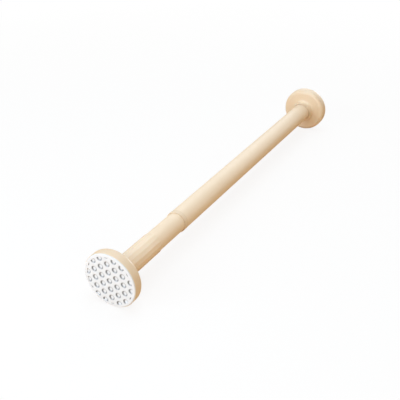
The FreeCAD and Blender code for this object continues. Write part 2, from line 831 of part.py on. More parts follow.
def write(pieces):
    """Write one file for each piece."""
    os.makedirs("parts", exist_ok=True)
    for piece in pieces:
        piece.Shape.exportStep("parts/{}.step".format(piece.Label))
        box = piece.Shape.BoundBox
        print("{:18s} x {:8.2f} {:8.2f}  r {:6.2f}  volume {:10.1f}".format(
            piece.Label, box.XMin, box.XMax, box.ZMax, piece.Shape.Volume))


pieces = build()
doc.recompute()
check(pieces)
write(pieces)
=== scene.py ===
"""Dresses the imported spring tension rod: painted telescopic tubes, moulded feet and grip, soft wall pads.

The rod lies along X with its rear pad on the plane x = 0. The pieces' sizes in this file are millimetres,
turned to Blender's metres where a mesh is made; the studio's are metres. Each sub-assembly is a class that
builds and dresses its own pieces.
"""

import logging
import math
from dataclasses import dataclass
from enum import Enum
from typing import Any, Callable, Iterator, NamedTuple, Sequence, Union

import bmesh
import bpy
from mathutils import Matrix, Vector, geometry


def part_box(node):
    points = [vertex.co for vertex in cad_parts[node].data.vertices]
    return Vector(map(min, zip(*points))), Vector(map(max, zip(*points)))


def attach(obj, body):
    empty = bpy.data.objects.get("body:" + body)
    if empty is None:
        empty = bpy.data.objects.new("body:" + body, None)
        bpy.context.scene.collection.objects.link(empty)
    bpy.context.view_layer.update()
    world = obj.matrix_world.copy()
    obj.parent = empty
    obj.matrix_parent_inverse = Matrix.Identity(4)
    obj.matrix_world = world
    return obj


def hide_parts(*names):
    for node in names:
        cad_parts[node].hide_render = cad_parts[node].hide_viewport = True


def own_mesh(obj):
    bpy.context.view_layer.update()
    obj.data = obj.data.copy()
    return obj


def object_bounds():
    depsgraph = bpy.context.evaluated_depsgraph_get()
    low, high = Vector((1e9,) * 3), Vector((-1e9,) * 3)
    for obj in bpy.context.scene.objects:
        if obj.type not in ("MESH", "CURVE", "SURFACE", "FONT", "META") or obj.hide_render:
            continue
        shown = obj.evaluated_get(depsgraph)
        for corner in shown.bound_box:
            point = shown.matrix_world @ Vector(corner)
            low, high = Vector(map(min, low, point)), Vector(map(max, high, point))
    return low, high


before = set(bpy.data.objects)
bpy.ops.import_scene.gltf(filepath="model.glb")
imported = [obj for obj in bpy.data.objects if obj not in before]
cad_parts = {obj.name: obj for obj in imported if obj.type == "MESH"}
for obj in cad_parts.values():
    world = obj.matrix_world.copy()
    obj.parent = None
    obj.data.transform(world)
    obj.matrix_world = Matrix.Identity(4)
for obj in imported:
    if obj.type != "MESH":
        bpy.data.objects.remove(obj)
CAD_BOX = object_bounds()
MM = 0.001
LOG = logging.getLogger("tension_rod")

# How finely the pieces are cut: sides of a turned piece, the largest step along a rounding and the fewest steps
TURNED_SIDES = 144
ARC_STEP_DEG = 15.0
FEWEST_ARC_STEPS = 2
# Edges that turn more than this stay crisp, softer ones are shaded smooth
CRISP_ANGLE_DEG = 28.0
# The name of the mesh value that holds the shade painted on the dimples' walls, darkest where a wall is steepest
WALL_SHADE_ATTRIBUTE = "dimple_wall_painted_shade"
WHITE = "#FFFFFF"

Radius = Union[float, Callable[[float], float]]
Station = tuple[float, Radius]


class Body(Enum):
    """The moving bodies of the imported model."""

    OUTER = "outer"
    GLIDE = "glide"
    LOCK = "lock"
    CAM = "cam"
    INNER = "inner"
    FOOT = "foot"


class Slot(Enum):
    """The record's material slots."""

    TUBE_PAINT = "tube_paint"
    BEIGE_MOULDING = "beige_moulding"
    CREAM_MOULDING = "cream_moulding"
    PAD_RUBBER = "pad_rubber"


class Facing(Enum):
    """Which way a wall pad faces along the rod."""

    REAR = -1
    FRONT = 1


def linear(colour: str) -> tuple[float, float, float, float]:
    """Turn an sRGB hex colour to Blender's linear colour, by the curve of the sRGB standard.

    Args:
        colour: the colour as #RRGGBB.

    Returns:
        Red, green and blue in linear light, and an alpha of one.
    """
    channels = [int(colour[place:place + 2], 16) / 255 for place in (1, 3, 5)]
    red, green, blue = (c / 12.92 if c <= 0.04045 else ((c + 0.055) / 1.055) ** 2.4 for c in channels)
    return red, green, blue, 1.0


def per_metre(size_mm: float) -> float:
    """Find the texture scale for a pattern of this size.

    Args:
        size_mm: the pattern's size.

    Returns:
        The scale of the texture node.
    """
    return 1 / (size_mm * MM)


class Span(NamedTuple):
    """Where a piece starts and ends along the rod, and its largest radius, in millimetres."""

    start: float
    end: float
    radius: float


def node_span(node: str) -> Span:
    """Measure a CAD node that lies along the rod.

    Args:
        node: the CAD node's name.

    Returns:
        Its span.
    """
    low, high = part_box(node)
    return Span(low.x / MM, high.x / MM, high.z / MM)


def add_node(tree: bpy.types.NodeTree, kind: str, inputs: dict[str | int, Any] | None = None,
             **settings: Any) -> bpy.types.Node:
    """Add a shader node with its settings and links.

    Args:
        tree: the node tree it goes into.
        kind: the node's type name, without its ShaderNode beginning.
        inputs: for each input, by name or number, a value or the output that it is linked to.
        settings: properties of the node itself.

    Returns:
        The new node.
    """
    node = tree.nodes.new("ShaderNode" + kind)
    for name, value in settings.items():
        setattr(node, name, value)
    for name, value in (inputs or {}).items():
        if isinstance(value, bpy.types.NodeSocket):
            tree.links.new(value, node.inputs[name])
        else:
            node.inputs[name].default_value = value
    return node


@dataclass(frozen=True)
class Corner:
    """A corner of a turned outline: along the rod, out from its axis, and how much it is rounded."""

    along: float
    out: float
    rounding: float = 0.0


def rounded_outline(corners: Sequence[Corner], closed: bool = True) -> list[Station]:
    """Turn corners into the points of an outline, with arcs where they are rounded.

    Args:
        corners: the corners in order.
        closed: whether the last corner runs on to the first.

    Returns:
        The outline's points, along the rod and out from its axis.
    """
    points: list[Station] = []
    count = len(corners)
    for index, corner in enumerate(corners):
        here = Vector((corner.along, corner.out))
        at_end = not closed and index in (0, count - 1)
        if corner.rounding <= 0 or at_end:
            points.append((here.x, here.y))
            continue
        before, after = corners[index - 1], corners[(index + 1) % count]
        back = (Vector((before.along, before.out)) - here).normalized()
        ahead = (Vector((after.along, after.out)) - here).normalized()
        half = back.angle(ahead) / 2
        centre = here + (back + ahead).normalized() * corner.rounding / math.sin(half)
        start = here + back * corner.rounding / math.tan(half) - centre
        sweep = start.angle_signed(here + ahead * corner.rounding / math.tan(half) - centre)
        steps = max(FEWEST_ARC_STEPS, math.ceil(abs(math.degrees(sweep)) / ARC_STEP_DEG))
        for step in range(steps + 1):
            turn = -sweep * step / steps
            spot = Vector((start.x * math.cos(turn) - start.y * math.sin(turn),
                           start.x * math.sin(turn) + start.y * math.cos(turn)))
            points.append((centre.x + spot.x, centre.y + spot.y))
    return points


def even_angles() -> list[float]:
    """Space the sides of a turned piece evenly round the rod.

    Returns:
        Angles in radians from +Y towards +Z.
    """
    return [math.tau * side / TURNED_SIDES for side in range(TURNED_SIDES)]


def ring_of(mesh: bmesh.types.BMesh, station: Station, angles: Sequence[float]) -> list[bmesh.types.BMVert]:
    """Make the vertices of one ring round the rod, or a single one where it lies on the axis.

    Args:
        mesh: the mesh that gets the vertices.
        station: the ring's place along the rod and its radius.
        angles: the angles of the vertices.

    Returns:
        The ring's vertices.
    """
    along, radius = station
    if not callable(radius) and radius <= 0:
        return [mesh.verts.new((along * MM, 0, 0))]
    made = []
    for angle in angles:
        out = (radius(angle) if callable(radius) else radius) * MM
        made.append(mesh.verts.new((along * MM, out * math.cos(angle), out * math.sin(angle))))
    return made


def skin_between(mesh: bmesh.types.BMesh, near: list[bmesh.types.BMVert], far: list[bmesh.types.BMVert]) -> None:
    """Close the strip between two rings with faces; a ring of one vertex gets a fan.

    Args:
        mesh: the mesh that gets the faces.
        near: the first ring.
        far: the second ring.
    """
    count = max(len(near), len(far))
    for side in range(count):
        after = (side + 1) % count
        if len(near) == 1:
            mesh.faces.new((near[0], far[after], far[side]))
        elif len(far) == 1:
            mesh.faces.new((near[side], near[after], far[0]))
        else:
            mesh.faces.new((near[side], near[after], far[after], far[side]))


def turned(mesh: bmesh.types.BMesh, outline: Sequence[Station], closed: bool = True,
           angles: Sequence[float] | None = None) -> None:
    """Turn an outline about the rod's axis.

    Args:
        mesh: the mesh that gets the surface.
        outline: the outline's points; a radius may also be a function of the angle.
        closed: whether the last point runs on to the first.
        angles: the angles of the sides, even ones if left out.
    """
    rings = [ring_of(mesh, station, angles or even_angles()) for station in outline]
    for near, far in zip(rings, rings[1:] + rings[:1] if closed else rings[1:]):
        skin_between(mesh, near, far)


def face_front(mesh: bmesh.types.BMesh, front: float) -> None:
    """Turn a foot or pad that was built facing the rear wall, so that it faces the front one.

    Args:
        mesh: its mesh.
        front: where the front pad's face is along the rod.
    """
    for vertex in mesh.verts:
        vertex.co = Vector((front * MM - vertex.co.x, -vertex.co.y, vertex.co.z))


def as_piece(mesh: bmesh.types.BMesh, name: str) -> bpy.types.Object:
    """Turn a finished mesh into an object, with its faces outward and its sharp edges crisp.

    Args:
        mesh: the finished mesh, which is freed.
        name: the piece's name.

    Returns:
        The new object, linked to the scene.
    """
    bmesh.ops.recalc_face_normals(mesh, faces=mesh.faces)
    # A flat disc can come out of that with its faces inward
    if mesh.calc_volume(signed=True) < 0:
        bmesh.ops.reverse_faces(mesh, faces=mesh.faces)
    data = bpy.data.meshes.new(name)
    mesh.to_mesh(data)
    mesh.free()
    data.shade_smooth()
    data.set_sharp_from_angle(angle=math.radians(CRISP_ANGLE_DEG))
    piece = bpy.data.objects.new(name, data)
    bpy.context.scene.collection.objects.link(piece)
    return piece


def place_piece(piece: bpy.types.Object, body: Body, node: str,
                material: bpy.types.Material) -> bpy.types.Object:
    """Dress a piece, let it ride on its body and stand for its CAD node.

    Args:
        piece: the new piece.
        body: the body it moves with.
        node: the CAD node that it stands for.
        material: its finish.

    Returns:
        The same piece.
    """
    piece.data.materials.append(material)
    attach(piece, body.value)
    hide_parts(node)
    LOG.info("%s rides on %s, %d faces", piece.name, body.value, len(piece.data.polygons))
    return piece


def dress_nodes(nodes: Sequence[str], material: bpy.types.Material) -> None:
    """Give CAD nodes that stay as they are a finish.

    Args:
        nodes: the CAD nodes' names.
        material: their finish.
    """
    for name in nodes:
        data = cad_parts[name].data
        data.materials.clear()
        data.materials.append(material)
        LOG.info("%s keeps its CAD shape, in %s", name, material.name)


def empty_tree(owner: bpy.types.Material | bpy.types.World) -> bpy.types.NodeTree:
    """Switch a new material or world to nodes, without those that it comes with.

    Args:
        owner: the new material or world.

    Returns:
        Its empty node tree.
    """
    owner.use_nodes = True
    owner.node_tree.nodes.clear()
    return owner.node_tree


def noise(tree: bpy.types.NodeTree, size_mm: float, detail: float, distortion: float = 0.0) -> bpy.types.NodeSocket:
    """Add noise that keeps its place on the piece.

    Args:
        tree: the material's node tree.
        size_mm: the size of its clouds.
        detail: how many finer layers it has.
        distortion: how far the clouds are pulled about.

    Returns:
        The noise, from nothing to one.
    """
    place = add_node(tree, "TexCoord").outputs["Object"]
    return add_node(tree, "TexNoise", {"Vector": place, "Scale": per_metre(size_mm), "Detail": detail,
                                       "Distortion": distortion}).outputs["Fac"]


def blend(tree: bpy.types.NodeTree, share: bpy.types.NodeSocket, first: str, second: str) -> bpy.types.NodeSocket:
    """Blend two colours.

    Args:
        tree: the material's node tree.
        share: how much there is of the second one.
        first: the first colour as #RRGGBB.
        second: the second one.

    Returns:
        The blended colour.
    """
    return add_node(tree, "Mix", {"Factor": share, "A": linear(first), "B": linear(second)},
                    data_type="RGBA").outputs["Result"]


def spread(tree: bpy.types.NodeTree, share: bpy.types.NodeSocket, limits: tuple[float, float]) -> bpy.types.NodeSocket:
    """Spread noise over a range of values.

    Args:
        tree: the material's node tree.
        share: the noise, from nothing to one.
        limits: the range's lowest and highest value.

    Returns:
        The value.
    """
    return add_node(tree, "MapRange", {"Value": share, "To Min": limits[0], "To Max": limits[1]}).outputs["Result"]


def bumped(tree: bpy.types.NodeTree, height: bpy.types.NodeSocket, strength: float,
           height_mm: float) -> bpy.types.NodeSocket:
    """Add a fine relief.

    Args:
        tree: the material's node tree.
        height: the relief, from nothing to one.
        strength: how much of it shows.
        height_mm: how high one is.

    Returns:
        The surface's direction.
    """
    return add_node(tree, "Bump", {"Height": height, "Strength": strength,
                                   "Distance": height_mm * MM}).outputs["Normal"]


class Finish:
    """What all finishes share: a material of that name, with one Principled shader."""

    name: str

    def material(self) -> bpy.types.Material:
        """Find the finish's material, or make it the first time.

        Returns:
            The material.
        """
        found = bpy.data.materials.get(self.name)
        if found is None:
            found = bpy.data.materials.new(self.name)
            tree = empty_tree(found)
            values = {name.replace("_", " "): value for name, value in self.inputs(tree).items()}
            surface = add_node(tree, "BsdfPrincipled", values)
            add_node(tree, "OutputMaterial", {"Surface": surface.outputs["BSDF"]})
        return found

    def inputs(self, tree: bpy.types.NodeTree) -> dict[str, Any]:
        """Build the nodes that feed the shader.

        Args:
            tree: the material's node tree.

        Returns:
            A value or an output for each of the shader's sockets, with underscores for spaces.
        """
        raise NotImplementedError


@dataclass(frozen=True)
class PowderCoat(Finish):
    """Polyester powder coat baked on drawn steel tube.

    It gives the eye an even cream with a satin gloss, and a faint orange peel that softens the highlight.
    """

    name: str = "powder_coated_steel"
    colour: str = "#F3DEC0"
    shade: str = "#EDD6B6"
    roughness: tuple[float, float] = (0.32, 0.4)
    ior: float = 1.5
    cloud_mm: float = 45.0
    cloud_detail: float = 3.0
    peel_mm: float = 1.4
    peel_detail: float = 2.0
    peel_strength: float = 0.6
    peel_height_mm: float = 0.006

    def inputs(self, tree: bpy.types.NodeTree) -> dict[str, Any]:
        """Build the nodes that feed the shader, as Finish says."""
        cloud = noise(tree, self.cloud_mm, self.cloud_detail)
        peel = noise(tree, self.peel_mm, self.peel_detail)
        return dict(
            IOR=self.ior,
            Base_Color=blend(tree, cloud, self.colour, self.shade),
            Roughness=spread(tree, peel, self.roughness),
            Normal=bumped(tree, peel, self.peel_strength, self.peel_height_mm),
        )


@dataclass(frozen=True)
class MouldedAbs(Finish):
    """Injection moulded ABS from a polished or finely sparked mould.

    It gives the eye a slightly waxy plastic with a tighter highlight than the paint, and faint flow clouds.
    """

    name: str = "moulded_abs"
    colour: str = "#E9D4B5"
    shade: str = "#E4CCAB"
    roughness: tuple[float, float] = (0.3, 0.36)
    ior: float = 1.54
    glow: float = 0.12
    glow_depth_mm: float = 1.2
    glow_reach: tuple[float, float, float] = (1.0, 0.6, 0.35)
    flow_mm: float = 30.0
    flow_detail: float = 2.0
    flow_distortion: float = 0.6
    spark_mm: float = 0.5
    spark_detail: float = 1.0
    spark_strength: float = 0.4
    spark_height_mm: float = 0.004

    def inputs(self, tree: bpy.types.NodeTree) -> dict[str, Any]:
        """Build the nodes that feed the shader, as Finish says."""
        flow = noise(tree, self.flow_mm, self.flow_detail, self.flow_distortion)
        spark = noise(tree, self.spark_mm, self.spark_detail)
        return dict(
            IOR=self.ior,
            Subsurface_Weight=self.glow,
            Subsurface_Scale=self.glow_depth_mm * MM,
            Subsurface_Radius=self.glow_reach,
            Base_Color=blend(tree, flow, self.colour, self.shade),
            Roughness=spread(tree, flow, self.roughness),
            Normal=bumped(tree, spark, self.spark_strength, self.spark_height_mm),
        )


@dataclass(frozen=True)
class PadSilicone(Finish):
    """Compression moulded white silicone rubber.

    It gives the eye a soft white that glows at its thin edges. The grey on the dimples' walls is painted shade,
    for where they turn away from the light, most at their left and right.
    """

    name: str = "moulded_silicone"
    colour: str = "#DEE0E1"
    # The grey of the painted shade on the dimples' walls
    ring: str = "#717475"
    roughness: tuple[float, float] = (0.42, 0.52)
    ior: float = 1.43
    glow: float = 0.35
    glow_depth_mm: float = 1.5
    glow_reach: tuple[float, float, float] = (1.0, 1.0, 1.0)
    bloom_mm: float = 9.0
    bloom_detail: float = 2.0

    def inputs(self, tree: bpy.types.NodeTree) -> dict[str, Any]:
        """Build the nodes that feed the shader, as Finish says."""
        bloom = noise(tree, self.bloom_mm, self.bloom_detail)
        # How much painted shade each dimple's wall gets, read from the mesh; it blends the white towards the grey
        wall = add_node(tree, "Attribute", attribute_name=WALL_SHADE_ATTRIBUTE).outputs["Fac"]
        return dict(
            IOR=self.ior,
            Subsurface_Weight=self.glow,
            Subsurface_Scale=self.glow_depth_mm * MM,
            Subsurface_Radius=self.glow_reach,
            Base_Color=blend(tree, wall, self.colour, self.ring),
            Roughness=spread(tree, bloom, self.roughness),
        )


@dataclass(frozen=True)
class Acetal(Finish):
    """Moulded acetal or nylon, for pieces that slide and grip inside the rod.

    It gives the eye a dense, slightly waxy white, or the near black of filled nylon, with a low gloss.
    """

    name: str = "white_acetal"
    colour: str = "#F1F0EA"
    shade: str = "#E6E4DB"
    roughness: float = 0.42
    ior: float = 1.48
    flow_mm: float = 12.0
    flow_detail: float = 3.0
    flow_strength: float = 0.2
    flow_height_mm: float = 0.01

    def inputs(self, tree: bpy.types.NodeTree) -> dict[str, Any]:
        """Build the nodes that feed the shader, as Finish says."""
        flow = noise(tree, self.flow_mm, self.flow_detail)
        return dict(
            IOR=self.ior,
            Base_Color=blend(tree, flow, self.colour, self.shade),
            Roughness=self.roughness,
            Normal=bumped(tree, flow, self.flow_strength, self.flow_height_mm),
        )


@dataclass(frozen=True)
class PlatedSteel(Finish):
    """Turned or drawn steel with a bright zinc plate, or the bare oiled steel of a spring.

    It gives the eye a cool metal whose fine drawing lines along the rod break up the reflections.
    """

    name: str = "zinc_plated_steel"
    colour: str = "#C9CCD0"
    shade: str = "#AEB2B8"
    roughness: tuple[float, float] = (0.24, 0.4)
    line_mm: float = 0.3
    line_length_mm: float = 8.0
    line_detail: float = 3.0

    def inputs(self, tree: bpy.types.NodeTree) -> dict[str, Any]:
        """Build the nodes that feed the shader, as Finish says."""
        place = add_node(tree, "TexCoord").outputs["Object"]
        along, across = per_metre(self.line_length_mm), per_metre(self.line_mm)
        stretched = add_node(tree, "Mapping", {"Vector": place, "Scale": (along, across, across)})
        lines = add_node(tree, "TexNoise", {"Vector": stretched.outputs["Vector"], "Scale": 1.0,
                                            "Detail": self.line_detail}).outputs["Fac"]
        return dict(
            Metallic=1.0,
            Base_Color=blend(tree, lines, self.colour, self.shade),
            Roughness=spread(tree, lines, self.roughness),
        )


TUBE_PAINT = PowderCoat()
FOOT_ABS = MouldedAbs()
GRIP_ABS = MouldedAbs(name="gloss_moulded_abs", colour="#F5E0C2", shade="#EFD8B7", roughness=(0.18, 0.24))
WALL_SILICONE = PadSilicone()
WHITE_ACETAL = Acetal()
CAM_NYLON = Acetal(name="dark_nylon", colour="#46484C", shade="#3A3C40", ior=1.53)
ZINC_STEEL = PlatedSteel()
SPRING_STEEL = PlatedSteel(name="oiled_spring_steel", colour="#8E9196", shade="#6F7277", roughness=(0.3, 0.45))


@dataclass
class OuterTube:
    """The fixed, thicker tube and the moulded ring on its mouth."""

    wall: float = 0.5
    burr: float = 0.15
    ring_round: float = 0.35
    joint_round: float = 0.8
    recess: float = 0.5
    recess_depth: float = 1.2
    sleeve_lead_in: float = 0.12
    lip_round: float = 0.1
    slide_gap: float = 0.1
    seat_gap: float = 0.12

    def tube(self) -> bpy.types.Object:
        """Build the painted tube.

        Returns:
            The new piece.
        """
        start, end, radius = node_span("outer_tube")
        bore = radius - self.wall
        mesh = bmesh.new()
        turned(mesh, rounded_outline([
            Corner(start, bore, self.burr),
            Corner(start, radius, self.burr),
            Corner(end, radius, self.burr),
            Corner(end, bore, self.burr),
        ]))
        return as_piece(mesh, "outer_tube_painted")

    def mouth_ring(self) -> bpy.types.Object:
        """Build the ring on the mouth, with its sleeve between the tubes.

        Returns:
            The new piece.
        """
        start, end, radius = node_span("mouth_bush")
        tube = node_span("outer_tube")
        bore = node_span("inner_tube").radius + self.slide_gap
        sleeve = tube.radius - self.wall - self.seat_gap
        mesh = bmesh.new()
        turned(mesh, rounded_outline([
            Corner(start, bore, self.sleeve_lead_in),
            Corner(start, sleeve, self.sleeve_lead_in),
            Corner(tube.end, sleeve),
            Corner(tube.end, radius, self.joint_round),
            Corner(end, radius, self.ring_round),
            Corner(end, bore + self.recess, self.lip_round),
            Corner(end - self.recess_depth, bore + self.recess),
            Corner(end - self.recess_depth, bore),
        ]))
        return as_piece(mesh, "mouth_ring_moulded")

    def build(self) -> None:
        """Build and place both pieces."""
        place_piece(self.tube(), Body.OUTER, "outer_tube", TUBE_PAINT.material())
        place_piece(self.mouth_ring(), Body.OUTER, "mouth_bush", FOOT_ABS.material())


@dataclass
class InnerTube:
    """The sliding, thinner tube with the rolled bead that holds the spring's backstop."""

    wall: float = 0.5
    burr: float = 0.15
    bead_width: float = 3.0
    bead_depth: float = 0.6
    bead_round: float = 0.6
    bead_gap: float = 0.1

    def build(self) -> None:
        """Build and place the tube."""
        start, end, radius = node_span("inner_tube")
        bore = radius - self.wall
        bead = node_span("spring_backstop").end + self.bead_gap
        mesh = bmesh.new()
        turned(mesh, rounded_outline([
            Corner(start, bore, self.burr),
            Corner(start, radius, self.burr),
            Corner(bead, radius, self.bead_round),
            Corner(bead + self.bead_width / 2, radius - self.bead_depth, self.bead_round),
            Corner(bead + self.bead_width, radius, self.bead_round),
            Corner(end, radius, self.burr),
            Corner(end, bore, self.burr),
            Corner(bead + self.bead_width, bore, self.bead_round),
            Corner(bead + self.bead_width / 2, bore - self.bead_depth, self.bead_round),
            Corner(bead, bore, self.bead_round),
        ]))
        piece = as_piece(mesh, "inner_tube_painted")
        place_piece(piece, Body.INNER, "inner_tube", TUBE_PAINT.material())


@dataclass
class Grip:
    """The moulded hand grip: sixteen long flats, and a spigot in the inner tube."""

    sides: int = 16
    turn_deg: float = 7.4
    across: float = 30.75
    end_bevel: float = 0.35
    edge_round: float = 0.7
    edge_steps: int = 4
    spigot_radius: float = 14.23
    hollow_radius: float = 12.23
    end_wall: float = 20.0
    thread_radius: float = 2.62
    thread_depth: float = 18.0

    @property
    def step(self) -> float:
        """The angle from one flat to the next."""
        return math.tau / self.sides

    def edge_centre(self, inradius: float) -> float:
        """Find how far from the axis the centre of an edge's rounding is.

        Args:
            inradius: from the axis to a flat.

        Returns:
            The distance in millimetres.
        """
        return (inradius - self.edge_round) / math.cos(self.step / 2)

    def angles(self) -> list[float]:
        """Find the angles of the ring's vertices, which lie round the edges and meet at each flat's sides.

        Returns:
            Angles in radians from +Y towards +Z.
        """
        step, centre = self.step, self.edge_centre(self.across / 2)
        made = []
        for side in range(self.sides):
            corner = math.radians(self.turn_deg) + step * side
            for part in range(-self.edge_steps, self.edge_steps + 1):
                tilt = step / 2 * part / self.edge_steps
                out = centre + self.edge_round * math.cos(tilt)
                made.append(corner + math.atan2(self.edge_round * math.sin(tilt), out))
        return made

    def flats(self, inradius: float) -> Callable[[float], float]:
        """Describe a ring with rounded edges between its flats.

        Args:
            inradius: from the axis to a flat.

        Returns:
            The radius as a function of the angle.
        """
        step, centre = self.step, self.edge_centre(inradius)
        tangent = math.atan2(self.edge_round * math.sin(step / 2),
                             centre + self.edge_round * math.cos(step / 2))

        def radius(angle: float) -> float:
            """Find the radius at this angle.

            Args:
                angle: the angle in radians from +Y towards +Z.

            Returns:
                The radius in millimetres.
            """
            off = (angle - math.radians(self.turn_deg) + step / 2) % step - step / 2
            if abs(off) >= tangent:
                return inradius / math.cos(step / 2 - abs(off))
            return centre * math.cos(off) + math.sqrt(
                self.edge_round ** 2 - (centre * math.sin(off)) ** 2)

        return radius

    def build(self) -> None:
        """Build and place the grip."""
        grip, tube_end = node_span("grip"), node_span("inner_tube").end
        flat = self.across / 2
        mesh = bmesh.new()
        turned(mesh, [
            (grip.end - self.thread_depth, 0.0),
            (grip.end - self.thread_depth, self.thread_radius),
            (grip.end, self.thread_radius),
            (grip.end, self.flats(flat - self.end_bevel)),
            (grip.end - self.end_bevel, self.flats(flat)),
            (tube_end + self.end_bevel, self.flats(flat)),
            (tube_end, self.flats(flat - self.end_bevel)),
            (tube_end, self.spigot_radius),
            (grip.start, self.spigot_radius),
            (grip.start, self.hollow_radius),
            (grip.end - self.end_wall, self.hollow_radius),
            (grip.end - self.end_wall, 0.0),
        ], closed=False, angles=self.angles())
        piece = as_piece(mesh, "grip_moulded")
        place_piece(piece, Body.INNER, "grip", GRIP_ABS.material())


@dataclass
class Foot:
    """What both moulded feet share: a ribbed cup with a rounded back edge, built facing the rear wall."""

    wall: float = 2.4
    depth: float = 18.0
    edge_round: float = 7.0
    pad_thickness: float = 4.0
    pad_proud: float = 1.5
    lip: float = 0.54
    lip_round: float = 0.2
    inside_round: float = 0.8
    ribs: int = 6
    rib_thickness: float = 1.8
    rib_root: float = 0.6

    @property
    def radius(self) -> float:
        """The foot's outer radius."""
        return node_span("rear_foot").radius

    def cup(self, boss: float) -> list[Corner]:
        """Lay out the cup from the boss's rim, round the lip, to the rounded back edge.

        Args:
            boss: the boss's outer radius.

        Returns:
            The outline's corners.
        """
        radius = self.radius
        floor = self.depth - self.wall
        return [
            Corner(self.pad_thickness, boss),
            Corner(floor, boss, self.inside_round),
            Corner(floor, radius - self.edge_round, self.inside_round),
            Corner(self.depth - self.edge_round, radius - self.wall, self.inside_round),
            Corner(self.pad_thickness, radius - self.wall),
            Corner(self.pad_thickness, radius - self.lip),
            Corner(self.pad_proud, radius - self.lip, self.lip_round),
            Corner(self.pad_proud, radius, self.lip_round),
            Corner(self.depth, radius, self.edge_round),
        ]

    def add_ribs(self, mesh: bmesh.types.BMesh, boss: float) -> None:
        """Add the radial ribs between the boss and the cup's wall.

        Args:
            mesh: the foot's mesh.
            boss: the boss's outer radius.
        """
        sunk = self.wall - self.rib_root
        outline = [
            (self.pad_thickness, boss - self.rib_root),
            (self.depth - sunk, boss - self.rib_root),
            (self.depth - sunk, self.radius - self.edge_round),
            (self.depth - self.edge_round, self.radius - sunk),
            (self.pad_thickness, self.radius - sunk),
        ]
        count = len(outline)
        for rib in range(self.ribs):
            angle = math.tau * rib / self.ribs
            out = Vector((0, math.cos(angle), math.sin(angle)))
            side = Vector((0, -math.sin(angle), math.cos(angle)))
            plates = []
            for across in (-self.rib_thickness / 2, self.rib_thickness / 2):
                plates.append([mesh.verts.new((Vector((along, 0, 0)) + out * reach + side * across) * MM)
                               for along, reach in outline])
            mesh.faces.new(plates[0])
            mesh.faces.new(plates[1])
            for index in range(count):
                after = (index + 1) % count
                mesh.faces.new((plates[0][index], plates[0][after], plates[1][after], plates[1][index]))


@dataclass
class RearFoot(Foot):
    """The rear foot, whose flared hub takes the outer tube."""

    hub_length: float = 11.8
    hub_wall: float = 1.2
    hub_flare: float = 0.4
    hub_fillet: float = 4.5
    hub_mouth_round: float = 0.2
    hub_recess: float = 0.5
    hub_recess_depth: float = 1.5
    boss_wall: float = 2.2
    socket_floor: float = 10.0
    seat_gap: float = 0.12
    screw_hole: float = 2.22
    screw_sink: float = 4.32
    sink_floor: float = 7.2

    def build(self) -> None:
        """Build and place the foot."""
        socket = node_span("outer_tube").radius + self.seat_gap
        mouth = self.depth + self.hub_length
        hub = socket + self.hub_wall
        boss = socket + self.boss_wall
        mesh = bmesh.new()
        turned(mesh, rounded_outline([
            *self.cup(boss),
            Corner(self.depth, hub + self.hub_flare, self.hub_fillet),
            Corner(mouth, hub, self.hub_mouth_round),
            Corner(mouth, socket + self.hub_recess, self.hub_mouth_round / 2),
            Corner(mouth - self.hub_recess_depth, socket + self.hub_recess),
            Corner(mouth - self.hub_recess_depth, socket),
            Corner(self.socket_floor, socket),
            Corner(self.socket_floor, self.screw_hole),
            Corner(self.sink_floor, self.screw_hole),
            Corner(self.sink_floor, self.screw_sink),
            Corner(self.pad_thickness, self.screw_sink),
        ]))
        self.add_ribs(mesh, boss)
        piece = as_piece(mesh, "rear_foot_moulded")
        place_piece(piece, Body.OUTER, "rear_foot", FOOT_ABS.material())


@dataclass
class FrontFoot(Foot):
    """The front foot, which turns on the swivel screw."""

    screw_hole: float = 4.1
    washer_sink: float = 8.8
    sink_floor: float = 7.9
    boss: float = 11.0

    def build(self) -> None:
        """Build and place the foot."""
        mesh = bmesh.new()
        turned(mesh, rounded_outline([
            *self.cup(self.boss),
            Corner(self.depth, self.screw_hole),
            Corner(self.sink_floor, self.screw_hole),
            Corner(self.sink_floor, self.washer_sink),
            Corner(self.pad_thickness, self.washer_sink),
        ]))
        self.add_ribs(mesh, self.boss)
        face_front(mesh, node_span("front_pad").end)
        piece = as_piece(mesh, "front_foot_moulded")
        place_piece(piece, Body.FOOT, "front_foot", FOOT_ABS.material())


